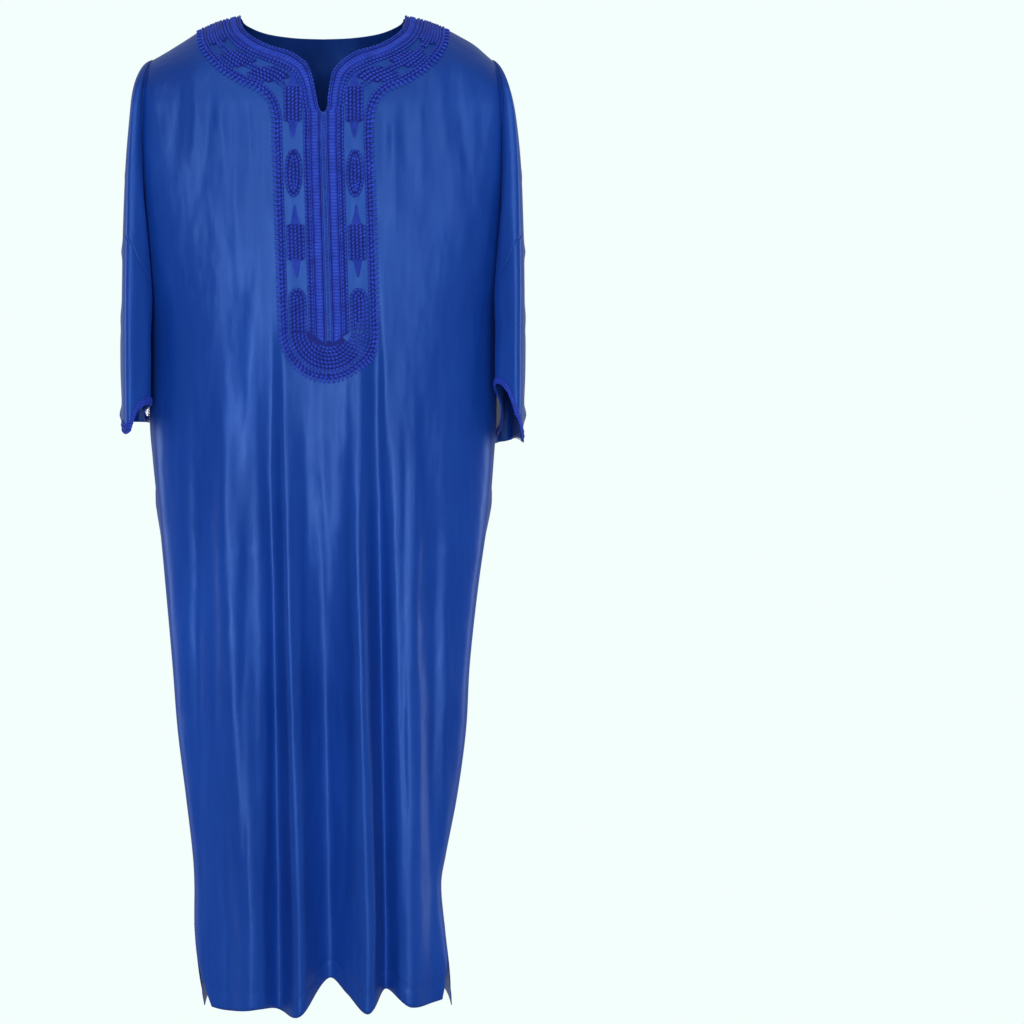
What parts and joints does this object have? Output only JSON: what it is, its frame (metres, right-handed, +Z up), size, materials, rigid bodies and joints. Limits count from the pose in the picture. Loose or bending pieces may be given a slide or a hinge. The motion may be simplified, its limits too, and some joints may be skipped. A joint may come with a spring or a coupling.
{
  "type": "long satin thobe",
  "caption": "Long hollow satin robe with wide half sleeves, a slit round neck, side vents and raised braid round the neck, down the chest and at the cuffs.",
  "frame": {"origin": "level with the shoulder seams at the neck, midway between the shoulders, where the wearer holds the garment up", "axes": "+Z up, -Y to the front of the garment, +X to the wearer's left"},
  "size_m": [0.5466, 0.3461, 1.3648],
  "materials": {
    "satin": "satin weave with a soft sheen",
    "braid": "matte raised cord and braid"
  },
  "bodies": {
    "root": {"front_panel": "satin", "back_panel": "satin", "sleeve_left": "satin", "sleeve_right": "satin", "cuff_braid_left": "braid", "cuff_braid_right": "braid", "back_neck_braid": "braid", "border_braid": "braid", "neck_braid": "braid", "lower_fill": "braid", "upper_oval_left": "braid", "lower_oval_left": "braid", "upper_spade_left": "braid", "lower_spade_left": "braid", "yoke_rosette_left": "braid", "yoke_leaf_left": "braid", "yoke_bud_left": "braid", "upper_oval_right": "braid", "lower_oval_right": "braid", "upper_spade_right": "braid", "lower_spade_right": "braid", "yoke_rosette_right": "braid", "yoke_leaf_right": "braid", "yoke_bud_right": "braid"}
  },
  "joints": []
}
